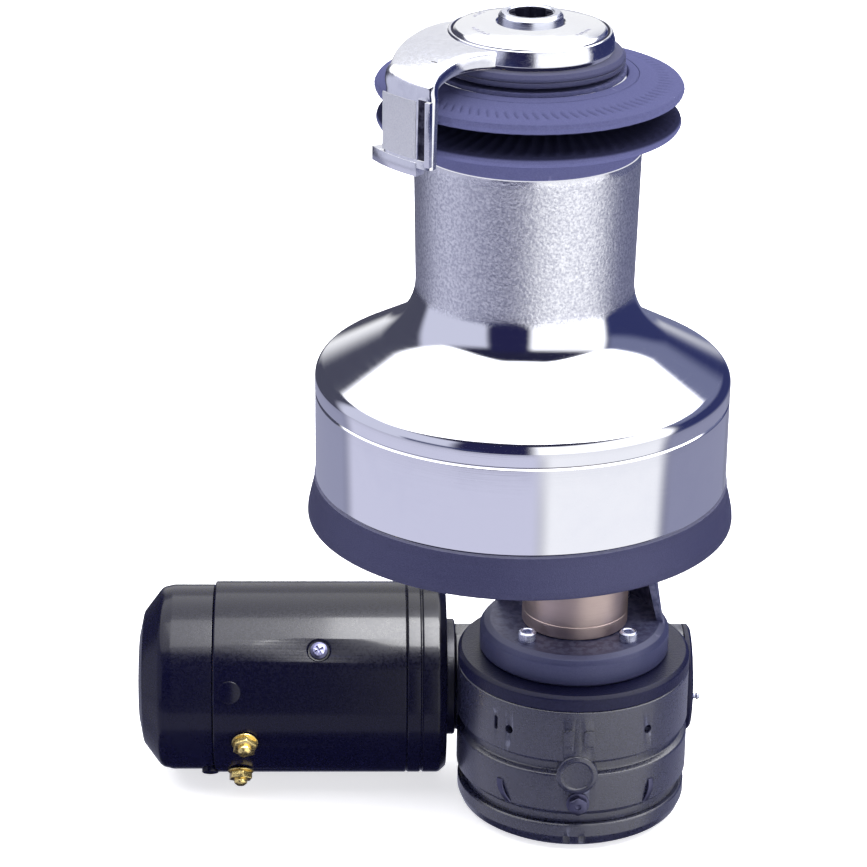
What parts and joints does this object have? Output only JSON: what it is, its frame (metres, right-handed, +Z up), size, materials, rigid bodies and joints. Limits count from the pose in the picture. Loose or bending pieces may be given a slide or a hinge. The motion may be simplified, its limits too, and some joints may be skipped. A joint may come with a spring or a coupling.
{
  "type": "sailboat winch",
  "caption": "Electric self-tailing drum winch with chromed waisted drum, sprung rope jaws, tailing arm, under-deck right-angle worm gearbox and horizontal cylindrical motor.",
  "frame": {"origin": "centre of the base ring's underside, on the deck plane, on the drum axis", "axes": "+Z up along the drum axis, the motor lies along -X under the deck, the drive comes up at +X of the drum axis"},
  "size_m": [0.3591, 0.254, 0.5035],
  "materials": {
    "chrome": "polished chrome",
    "dark_anodised": "dark blue-grey anodised, satin",
    "grey_anodised": "light grey anodised, satin",
    "grey_plastic": "matt grey",
    "bronze": "turned bronze",
    "steel": "machined steel",
    "spring_steel": "blued spring steel",
    "black_paint": "gloss black paint",
    "black_casting": "black coated casting, semi-gloss",
    "brass": "bright brass",
    "copper": "bare copper",
    "carbon": "carbon"
  },
  "bodies": {
    "winch_body": {"base_ring": "dark_anodised", "gear_housing": "steel", "centre_stem": "steel", "drum_bearing_lower": "steel", "drum_bearing_upper": "steel", "idler_shaft": "steel", "lay_shaft": "steel", "spindle_bearing": "bronze", "stripper_ring": "grey_anodised", "self_tailing_arm": "chrome", "guide_panel": "grey_plastic", "top_cap": "chrome", "drive_tube": "bronze", "drive_flange": "grey_anodised", "flange_bolt_1": "steel", "flange_bolt_2": "steel", "flange_bolt_3": "steel", "flange_bolt_4": "steel", "gearbox_cover": "black_casting", "gearbox_housing": "black_casting", "bottom_cap": "black_casting", "drain_plug": "steel", "output_bearing_upper": "steel", "output_bearing_lower": "steel", "worm_bearing_left": "steel", "worm_bearing_right": "steel", "worm_end_cap": "black_casting", "grease_nipple": "steel", "motor_adapter": "black_casting", "motor_case": "black_paint", "motor_rear_cap": "black_paint", "motor_front_cap": "black_paint", "field_poles": "copper", "brush_1": "carbon", "brush_2": "carbon", "terminal_1": "brass", "terminal_2": "brass"},
    "drum_body": {"drum": "chrome", "ring_gear": "steel", "lower_jaw": "dark_anodised", "jaw_spring": "spring_steel", "spring_retainer": "steel"},
    "upper_jaw_body": {"upper_jaw": "dark_anodised"},
    "motor_rotor": {"worm_shaft": "steel", "motor_shaft": "steel", "armature_core": "steel", "commutator": "copper"},
    "output_drive": {"output_shaft": "steel", "worm_wheel": "bronze", "drive_pinion": "steel", "pinion_clutch": "steel"},
    "idler": {"idler_gear": "steel"},
    "lay_wheel": {"lay_gear": "steel"},
    "handle_gear": {"spindle_gear": "steel"},
    "handle_spindle": {"main_spindle": "chrome", "pawl_spring_1": "spring_steel", "pawl_spring_2": "spring_steel"},
    "pawl_a": {"pawl_1": "steel"},
    "pawl_b": {"pawl_2": "steel"}
  },
  "joints": [
    {"name": "motor_spin", "type": "hinge", "parent": "winch_body", "child": "motor_rotor", "pos_m": [0, 0.042, -0.1325], "axis": [1, 0, 0], "continuous": true},
    {"name": "output_spin", "type": "hinge", "parent": "winch_body", "child": "output_drive", "pos_m": [0.035, 0, 0], "axis": [0, 0, 1], "continuous": true},
    {"name": "idler_spin", "type": "hinge", "parent": "winch_body", "child": "idler", "pos_m": [0.0775, 0, 0], "axis": [0, 0, 1], "continuous": true},
    {"name": "drum_spin", "type": "hinge", "parent": "winch_body", "child": "drum_body", "pos_m": [0, 0, 0], "axis": [0, 0, 1], "continuous": true},
    {"name": "lay_gear_spin", "type": "hinge", "parent": "winch_body", "child": "lay_wheel", "pos_m": [-0.0625, 0, 0], "axis": [0, 0, 1], "continuous": true},
    {"name": "handle_gear_spin", "type": "hinge", "parent": "winch_body", "child": "handle_gear", "pos_m": [0, 0, 0], "axis": [0, 0, 1], "continuous": true},
    {"name": "handle_spin", "type": "hinge", "parent": "winch_body", "child": "handle_spindle", "pos_m": [0, 0, 0], "axis": [0, 0, 1], "continuous": true},
    {"name": "pawl_1_swing", "type": "hinge", "parent": "handle_spindle", "child": "pawl_a", "pos_m": [0.0102, -0.004, 0.018], "axis": [0, 0, -1], "range_deg": [0, 18], "stiffness_Nm_per_rad": 0.02},
    {"name": "pawl_2_swing", "type": "hinge", "parent": "handle_spindle", "child": "pawl_b", "pos_m": [-0.0102, 0.004, 0.018], "axis": [0, 0, -1], "range_deg": [0, 18], "stiffness_Nm_per_rad": 0.02},
    {"name": "upper_jaw_lift", "type": "slide", "parent": "drum_body", "child": "upper_jaw_body", "axis": [0, 0, 1], "range_m": [0, 0.0025], "stiffness_N_per_m": 8000, "springref_m": -0.003, "deforming": ["jaw_spring"]}
  ],
  "couplings": [
    {"joint": "output_spin", "follows": "motor_spin", "ratio": 0.041667},
    {"joint": "idler_spin", "follows": "motor_spin", "ratio": -0.037037},
    {"joint": "drum_spin", "follows": "motor_spin", "ratio": -0.0083333},
    {"joint": "lay_gear_spin", "follows": "motor_spin", "ratio": -0.022222},
    {"joint": "handle_gear_spin", "follows": "motor_spin", "ratio": 0.039506}
  ]
}
